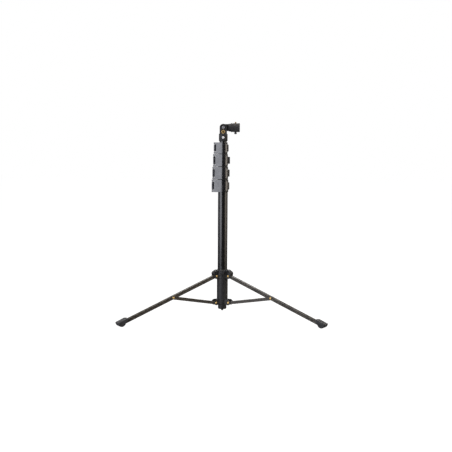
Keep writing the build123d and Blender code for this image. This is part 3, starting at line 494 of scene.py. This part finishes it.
def nylon(name, base, worn, size, depth, rough, dusty):
    """Moulded nylon: mould texture, a slow unevenness of colour, rubbed edges and dust.

    size and depth are those of the mould's texture, and rough is a low and a high value.
    """
    material, tree, shader = new_material(name)
    mould = place(tree, grain, Size=size, Blotch_size=0.018)
    wear = place(tree, edge_wear, Width=0.0007, Break_up=220.0, Amount=0.75)
    film = place(tree, dust, Amount=dusty, Patch_size=0.010)
    lighter = tuple(min(1.0, channel * PALER) for channel in base)
    colour = tinted(tree, ranged(tree, mould.outputs["Blotch"], 0.35, 0.7, 0.0, 1.0), base, lighter)
    colour = tinted(tree, wear.outputs["Mask"], colour, worn)
    colour = tinted(tree, film.outputs["Mask"], colour, NYLON_DUST)
    tree.links.new(colour, shader.inputs["Base Color"])
    roughness = ranged(tree, mould.outputs["Blotch"], 0.3, 0.7, *rough)
    tree.links.new(roughness, shader.inputs["Roughness"])
    height, rounded = mould.outputs["Height"], wear.outputs["Rounded normal"]
    textured = raised(tree, height, size * GRAIN_HEIGHT_SHARE, depth, rounded)
    tree.links.new(textured, shader.inputs["Normal"])
    return material, shader


lever_nylon, lever_shader = nylon(
    "lever_nylon", base=(0.006, 0.006, 0.007), worn=(0.07, 0.07, 0.075),
    size=0.0005, depth=0.05, rough=(0.22, 0.29), dusty=0.04)
lever_shader.inputs["Specular IOR Level"].default_value = 1.0
dress([f"clamp_lever_{n}" for n in range(1, 5)], lever_nylon)

clamp_nylon, _ = nylon(
    "clamp_nylon", base=(0.009, 0.009, 0.0095), worn=(0.06, 0.06, 0.06),
    size=0.0007, depth=0.35, rough=(0.38, 0.5), dusty=0.06)
dress([f"clamp_body_{n}" for n in range(1, 5)] + [f"guide_plug_{n}" for n in range(2, 6)], clamp_nylon)

sleeve_nylon, _ = nylon(
    "sleeve_nylon", base=(0.011, 0.011, 0.0118), worn=(0.06, 0.06, 0.06),
    size=0.0010, depth=0.5, rough=(0.46, 0.6), dusty=0.07)
dress(["leg_collar", "collar_sleeve", "lower_collar", "collar_wing_knob", "mast_plug"], sleeve_nylon)

# %% [markdown]
# ## Legs and stays: dark bronze anodised section
#
# The legs are dark, but warmer than the mast. Every edge of a leg or a stay is painted with a pale
# tan line: partly edge wear, and partly a painted highlight that stands in for the light on the
# upper arris. The same tube recipe works with the member's own direction, so a function makes one
# material for each leg and each stay.

# %% Leg and stay metal
LEG_SLOPE, STAY_SLOPE = math.radians(-21.2), math.radians(9.84)
LEG_SIDES = {"left": math.radians(210), "right": math.radians(330), "back": math.radians(90)}


BRONZE_PALER = 1.7


def bronze_section(name, azimuth, slope, base):
    """Dark bronze anodised section whose drawing lines run along one leg or stay."""
    level = math.cos(slope)
    direction = (math.cos(azimuth) * level, math.sin(azimuth) * level, math.sin(slope))
    material, tree, shader = new_material(name)
    pulled = place(tree, drawn_lines, Along=direction, Fineness=1700.0, Stretch=0.015)
    wear = place(tree, edge_wear, Width=0.0011, Break_up=150.0, Amount=0.85)
    film = place(tree, dust, Amount=0.32, Patch_size=0.014)
    lighter = tuple(channel * BRONZE_PALER for channel in base)
    colour = tinted(tree, ranged(tree, pulled.outputs["Rubs"], 0.35, 0.7, 0.0, 1.0), base, lighter)
    # Pale tan edge line: partly edge wear, partly a painted highlight along the upper arris.
    colour = tinted(tree, wear.outputs["Mask"], colour, (0.30, 0.26, 0.20))
    colour = tinted(tree, film.outputs["Mask"], colour, (0.27, 0.24, 0.19))
    tree.links.new(colour, shader.inputs["Base Color"])
    rough = ranged(tree, pulled.outputs["Rubs"], 0.3, 0.75, 0.34, 0.5)
    tree.links.new(rough, shader.inputs["Roughness"])
    rounded = wear.outputs["Rounded normal"]
    tree.links.new(raised(tree, pulled.outputs["Lines"], 0.00004, 0.5, rounded), shader.inputs["Normal"])
    shader.inputs["Metallic"].default_value = 0.35
    return material


LEG_BASE, STAY_BASE = (0.022, 0.019, 0.016), (0.034, 0.030, 0.026)
for side, azimuth in LEG_SIDES.items():
    dress([f"leg_{side}"], bronze_section(f"leg_bronze_{side}", azimuth, LEG_SLOPE, LEG_BASE))
    dress([f"stay_{side}"], bronze_section(f"stay_bronze_{side}", azimuth, STAY_SLOPE, STAY_BASE))

# %% [markdown]
# ## Boots: moulded rubber
#
# Rubber is dull and slightly blue-grey, chalky where it flexes and dusty where it meets the
# ground. It has almost no gloss, only a faint sheen at a flat angle.

# %% Boot rubber
boot_rubber, boot_tree, boot_shader = new_material("boot_rubber")
tooth = place(boot_tree, grain, Size=0.0012, Blotch_size=0.012)
wear = place(boot_tree, edge_wear, Width=0.0014, Break_up=180.0, Amount=0.45)
film = place(boot_tree, dust, Amount=0.12, Patch_size=0.006)
bloom = ranged(boot_tree, tooth.outputs["Blotch"], 0.35, 0.7, 0.0, 1.0)
colour = tinted(boot_tree, bloom, (0.012, 0.0125, 0.0148), (0.024, 0.025, 0.029))
colour = tinted(boot_tree, wear.outputs["Mask"], colour, (0.07, 0.07, 0.075))
colour = tinted(boot_tree, film.outputs["Mask"], colour, (0.20, 0.19, 0.17))
boot_tree.links.new(colour, boot_shader.inputs["Base Color"])
boot_rough = ranged(boot_tree, tooth.outputs["Blotch"], 0.3, 0.7, 0.62, 0.85)
boot_tree.links.new(boot_rough, boot_shader.inputs["Roughness"])
boot_normal = raised(boot_tree, tooth.outputs["Height"], 0.0003, 0.8, wear.outputs["Rounded normal"])
boot_tree.links.new(boot_normal, boot_shader.inputs["Normal"])
boot_shader.inputs["Sheen Weight"].default_value = 0.04
dress([f"foot_{side}" for side in LEG_SIDES], boot_rubber)

# %% [markdown]
# ## Hardware: brass, steel and the die-cast head
#
# Rivets and the threaded bush are yellow brass, brightest on the dome and brown where the
# fingers never reach. The head's screws and nut are zinc plated, and the clamps' pins, bolts and
# nuts are blackened steel. The head is die-cast and powder coated, so it has orange peel and
# rubbed edges.

# %% Bare metals
POLISHED = 1.15
# Painted shade: black for a threaded hole and for a screw head's rim that turns away from the light.
PAINTED_SHADE_BLACK = (0.004, 0.004, 0.004)


def bare_metal(name, bright, dull, low_rough, high_rough, bareness=1.0, painted_shade=None):
    """Brass or steel with a tarnish in slow blotches. dark is a node, a radius and a side.

    The surface is painted black inside or outside that radius about the middle of the node's box,
    as painted shade in a hole or on a rim that turns away from the light.
    """
    material, tree, shader = new_material(name)
    pits = place(tree, grain, Size=0.0009, Blotch_size=0.0022)
    wear = place(tree, edge_wear, Width=0.0003, Break_up=600.0, Amount=0.6)
    tarnish = ranged(tree, pits.outputs["Blotch"], 0.42, 0.72, 0.0, 1.0)
    colour = tinted(tree, tarnish, bright, dull)
    polished = tuple(min(1.0, channel * POLISHED) for channel in bright)
    colour = tinted(tree, wear.outputs["Mask"], colour, polished)
    if painted_shade is not None:
        node_name, radius, side = painted_shade
        low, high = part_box(node_name)
        mark = place(tree, round_mark, Centre=(low + high) / 2, Radius=radius, Blur=0.0004)
        disc = mark.outputs["Mask"]
        if side == "outside":
            disc = math_node(tree, "SUBTRACT", 1.0, disc)
        # Painted shade: the disc, or the ring round it, is painted black.
        colour = tinted(tree, disc, colour, PAINTED_SHADE_BLACK)
    tree.links.new(colour, shader.inputs["Base Color"])
    rough = ranged(tree, pits.outputs["Blotch"], 0.3, 0.7, low_rough, high_rough)
    tree.links.new(rough, shader.inputs["Roughness"])
    pitted = raised(tree, pits.outputs["Height"], 0.0001, 0.25, wear.outputs["Rounded normal"])
    tree.links.new(pitted, shader.inputs["Normal"])
    shader.inputs["Metallic"].default_value = bareness
    return material


rivet_brass = bare_metal("rivet_brass", (0.94, 0.66, 0.26), (0.60, 0.38, 0.13), 0.30, 0.48, 0.7)
brass_nodes = ["leg_pivot_rivets", "stay_pivot_rivets"]
dress(brass_nodes + [f"knee_rivets_{side}" for side in LEG_SIDES], rivet_brass)

# The bush's threaded hole is painted black inside its radius, as painted shade.
bush_brass = bare_metal("bush_brass", (0.66, 0.46, 0.19), (0.38, 0.24, 0.09), 0.32, 0.5, 0.7,
                        painted_shade=("head_brass_bush", 0.0030, "inside"))
dress(["head_brass_bush"], bush_brass)

old_brass = bare_metal("old_brass", (0.30, 0.20, 0.10), (0.12, 0.08, 0.045), 0.35, 0.5, 0.8)
dress(["socket_spring_stud"], old_brass)

plated_steel = bare_metal("plated_steel", (0.86, 0.86, 0.88), (0.55, 0.55, 0.57), 0.34, 0.5, 0.6)
dress(["head_pivot_nut", "head_fixing_screw"], plated_steel)

# The pivot bolt's rim is painted dark outside its radius, as painted shade.
pivot_steel = bare_metal("pivot_steel", (0.40, 0.40, 0.42), (0.24, 0.24, 0.25), 0.34, 0.5, 0.6,
                         painted_shade=("head_pivot_bolt", 0.0044, "outside"))
dress(["head_pivot_bolt"], pivot_steel)

black_steel = bare_metal("black_steel", (0.075, 0.075, 0.08), (0.030, 0.030, 0.032), 0.30, 0.5)
clamp_hardware = [f"clamp_{part}_{n}" for part in ("tbolt", "pin", "nut") for n in range(1, 5)]
dress(clamp_hardware + ["mast_stud"], black_steel)

# %% Powder-coated head
head_coat, head_shader = nylon(
    "head_coat", base=(0.018, 0.018, 0.0192), worn=(0.06, 0.06, 0.063),
    size=0.0014, depth=0.5, rough=(0.5, 0.62), dusty=0.01)
head_shader.inputs["Specular IOR Level"].default_value = 0.25
head_shader.inputs["Metallic"].default_value = 0.1
dress(["head_socket", "head_arm", "head_coupling", "socket_lock_screw"], head_coat)

# %% [markdown]
# ## Small moulded and machined details
#
# Five details are too small for the CAD model but show up close: finger ribs on the clamp
# levers, grip ribs on the flanks of the boots, dark plates in the gaps between the clamps, which
# are painted shade, the thread of the stud under the mast, and the domed cap in the middle of the
# wing knob. They could be bump maps, but a bump has no outline and catches no edge light, so they
# are meshes. Each one is sunk a little into the part that it belongs to and rides on the same
# body.

# %% A helper for small pieces
def small_piece(name, shape, material, body):
    """Turns a bmesh into a smooth object that rides on a CAD body."""
    bmesh.ops.recalc_face_normals(shape, faces=shape.faces)
    for face in shape.faces:
        face.smooth = True
    mesh = bpy.data.meshes.new(name)
    shape.to_mesh(mesh)
    shape.free()
    mesh.materials.append(material)
    piece = bpy.data.objects.new(name, mesh)
    bpy.context.scene.collection.objects.link(piece)
    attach(piece, body)
    return piece


def skin(shape, rings, close_ends=True):
    """Joins rings of points, all of one length, into a tube of quads with closed ends."""
    made = [[shape.verts.new(point) for point in ring] for ring in rings]
    count = len(made[0])
    for first, second in zip(made, made[1:]):
        for k in range(count):
            shape.faces.new((first[k], first[(k + 1) % count], second[(k + 1) % count], second[k]))
    if close_ends:
        shape.faces.new(made[0][::-1])
        shape.faces.new(made[-1])


# %% [markdown]
# ### Ribs
#
# A moulded rib is a long low pillow. Its section is an ellipse, and the section shrinks towards
# both ends along a rounded curve. The function takes the rib's middle, its direction and the
# direction that it stands out, so the same few lines serve a lever and a boot.

# %% Rib maker
RIB_STATIONS = 9
RIB_SIDES = 12
RIB_REACH = 0.98
RIB_SWELL_POWER = 4


def add_rib(shape, middle, along, outward, length, width, proud):
    """A pillow-shaped rib centred on a surface, standing proud of it by that much."""
    along, outward = along.normalized(), outward.normalized()
    across = along.cross(outward)
    rings = []
    for station in range(RIB_STATIONS):
        t = RIB_REACH * (2 * station / (RIB_STATIONS - 1) - 1)
        swell = (1 - abs(t) ** RIB_SWELL_POWER) ** 0.5
        ring = []
        for k in range(RIB_SIDES):
            a = math.tau * k / RIB_SIDES
            offset = across * (math.cos(a) * width / 2) + outward * (math.sin(a) * proud)
            ring.append(middle + along * (t * length / 2) + offset * swell)
        rings.append(ring)
    skin(shape, rings)


# %% Finger ribs on the levers
LEVER_RIB_ANGLES = [math.radians(a) for a in (-31, -24, -17)]
LEVER_STANDOFF = 0.0036
LEVER_RIB_LENGTH, LEVER_RIB_WIDTH, LEVER_RIB_PROUD = 0.016, 0.0012, 0.0003
UP = Vector((0, 0, 1))
for n in range(1, 5):
    tube_low, tube_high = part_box(f"tube_{n}")
    lever_low, lever_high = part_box(f"clamp_lever_{n}")
    radius = (tube_high.x - tube_low.x) / 2 + LEVER_STANDOFF
    middle_z = (lever_low.z + lever_high.z) / 2
    ribs = bmesh.new()
    for angle in LEVER_RIB_ANGLES:
        outward = Vector((math.cos(angle), math.sin(angle), 0))
        middle = outward * radius + UP * middle_z
        add_rib(ribs, middle, UP, outward, LEVER_RIB_LENGTH, LEVER_RIB_WIDTH, LEVER_RIB_PROUD)
    small_piece(f"lever_ribs_{n}", ribs, lever_nylon, f"lever_{n}")
print("finger ribs:", 4 * len(LEVER_RIB_ANGLES))

# %% Grip ribs on the boots
BOOT_HALF_WIDTH = 0.012
BOOT_RIBS = [(0.3309, 0.0138, 0.0104), (0.3348, 0.0122, 0.0096), (0.3387, 0.0106, 0.0084)]
BOOT_RIB_WIDTH, BOOT_RIB_PROUD = 0.0017, 0.00045
RIB_LEAN = Vector((-0.546, 0, 0.838))
for side, azimuth in LEG_SIDES.items():
    turn = Matrix.Rotation(azimuth, 3, "Z")
    ribs = bmesh.new()
    for flank in (-1, 1):
        outward = turn @ Vector((0, flank, 0))
        for reach, height, length in BOOT_RIBS:
            middle = turn @ Vector((reach, flank * BOOT_HALF_WIDTH, height))
            add_rib(ribs, middle, turn @ RIB_LEAN, outward, length, BOOT_RIB_WIDTH, BOOT_RIB_PROUD)
    small_piece(f"boot_ribs_{side}", ribs, boot_rubber, f"leg_{side}_arm")
print("boot ribs:", 6 * len(LEG_SIDES))

# %% [markdown]
# ### Dark plates in the gaps between the clamps
#
# A thin dark plate, called gap_shade in the piece names, is put under each upper clamp, round
# that clamp's own tube. It is painted shade: it fills most of the narrow gap between two clamps,
# where there is only shade, so that the gap reads dark. It moves with its clamp. Its outline is a
# belt round two circles, the clamp's ring and its hinge. The points of such a belt are two arcs
# joined by straight sides, so no boolean or hull operator is needed. The sides are divided as
# well, because each outer point has a partner on the round bore, and a long side would cut across
# the bore.

# %% Shade plates under the upper clamps
SHADE_PLATE_HINGE_RADIUS = 0.0032
SHADE_PLATE_INSET = 0.0006
SHADE_PLATE_LIFT, SHADE_PLATE_GRIP, SHADE_PLATE_ROUND = 0.00022, 0.0001, 0.00015
ARC_STEPS, SIDE_STEPS = 48, 14


def belt_round(big_radius, centre, small_radius):
    """Points of the belt round a circle at the origin and a smaller one at a centre."""
    heading = math.atan2(centre.y, centre.x)
    lean = math.acos((big_radius - small_radius) / centre.length)
    arcs = []
    for first_angle, span, radius, middle in (
        (heading + lean, math.tau - 2 * lean, big_radius, Vector((0, 0))),
        (heading - lean, 2 * lean, small_radius, centre),
    ):
        angles = [first_angle + span * k / ARC_STEPS for k in range(ARC_STEPS + 1)]
        arcs.append([middle + Vector((math.cos(a), math.sin(a))) * radius for a in angles])
    points = []
    for arc, after in (arcs, arcs[::-1]):
        points += arc
        points += [arc[-1].lerp(after[0], k / SIDE_STEPS) for k in range(1, SIDE_STEPS)]
    return points


# Each plate is painted shade: dark nylon that fills the gap between two clamps, where there is only
# shade.
for n in range(2, 5):
    clamp_top_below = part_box(f"clamp_body_{n - 1}")[1].z
    clamp_low, clamp_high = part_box(f"clamp_body_{n}")
    pin_low, pin_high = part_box(f"clamp_pin_{n}")
    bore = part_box(f"tube_{n}")[1].x - SHADE_PLATE_INSET / 2
    hinge = ((pin_low + pin_high) / 2).to_2d()
    belt = belt_round(clamp_high.y - SHADE_PLATE_INSET, hinge, SHADE_PLATE_HINGE_RADIUS)
    bottom, top = clamp_top_below + SHADE_PLATE_LIFT, clamp_low.z + SHADE_PLATE_GRIP
    rings = []
    for inset, z in ((SHADE_PLATE_ROUND, bottom), (0, bottom + SHADE_PLATE_ROUND), (0, top)):
        rings.append([(p.normalized() * (p.length - inset)).to_3d() + UP * z for p in belt])
    for z in (top, bottom):
        rings.append([(p.normalized() * bore).to_3d() + UP * z for p in belt])
    shade_plate = bmesh.new()
    skin(shade_plate, rings + rings[:1], close_ends=False)
    bmesh.ops.remove_doubles(shade_plate, verts=shade_plate.verts, dist=1e-6)
    small_piece(f"clamp_wiper_{n}", shade_plate, clamp_nylon, f"mast_{n}")
    print("gap_shade thickness:", round(top - bottom, 5))

# %% [markdown]
# ### The stud's thread
#
# A thread is one ridge wound round a rod. A Screw modifier would make it, but a skin over rings
# is as short here: each ring is the ridge's section, a trapezium with a narrow crest, turned a
# little further and raised a little. The first and last quarter turns fade out, as a cut thread
# does.

# %% Wind the thread
stud_low, stud_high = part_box("mast_stud")
stud_radius = (stud_high.x - stud_low.x) / 2
THREAD_PITCH, THREAD_DEPTH, THREAD_ROOT = 0.001, 0.00035, 0.0002
THREAD_TURNS, TURN_STEPS, FADE_TURNS, FADE_LEAST = 3.4, 28, 0.25, 0.05
THREAD_LIFT = 0.0014
THREAD_BASE_SHARE, THREAD_CREST_SHARE = 0.42, 0.15
half_base = THREAD_PITCH * THREAD_BASE_SHARE
half_crest = half_base * THREAD_CREST_SHARE
steps = int(THREAD_TURNS * TURN_STEPS)
rings = []
for step in range(steps + 1):
    a = math.tau * step / TURN_STEPS
    rise = stud_low.z + THREAD_LIFT + THREAD_PITCH * step / TURN_STEPS
    from_end = min(step, steps - step) / TURN_STEPS
    fade = min(1.0, from_end / FADE_TURNS) * (1 - FADE_LEAST) + FADE_LEAST
    spoke = Vector((math.cos(a), math.sin(a), 0))
    root, crest = spoke * (stud_radius - THREAD_ROOT), spoke * (stud_radius + THREAD_DEPTH * fade)
    section = ((root, -half_base), (crest, -half_crest), (crest, half_crest), (root, half_base))
    rings.append([point + UP * (rise + dz) for point, dz in section])
thread = bmesh.new()
skin(thread, rings)
small_piece("stud_thread", thread, black_steel, "base")
print("thread turns:", THREAD_TURNS)

# %% [markdown]
# ### The knob's cap
#
# The wing knob is moulded over its screw, and a pressed cap closes the hole in the middle. A
# lathe shape is the natural choice: a short list of radii and heights, spun round the axis.

# %% Spin the cap
knob_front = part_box("collar_wing_knob")[0].y
KNOB_HEIGHT_Z = 0.143
HUB_FACE_Y = -0.0325
CAP_PROFILE = [
    (0.0034, 0.0004), (0.0034, -0.0003), (0.0030, -0.0006), (0.0026, -0.0004), (0.0023, -0.0004),
    (0.0020, -0.0007), (0.0012, -0.0009), (0.0003, -0.00095),
]
CAP_SIDES = 32
rings = []
for radius, height in CAP_PROFILE:
    angles = [math.tau * k / CAP_SIDES for k in range(CAP_SIDES)]
    rings.append([
        Vector((radius * math.cos(a), HUB_FACE_Y + height, KNOB_HEIGHT_Z + radius * math.sin(a)))
        for a in angles
    ])
cap = bmesh.new()
skin(cap, rings)
small_piece("knob_cap", cap, head_coat, "collar_lock")
print("cap face:", round(HUB_FACE_Y + CAP_PROFILE[-1][1], 5), "knob front:", round(knob_front, 5))
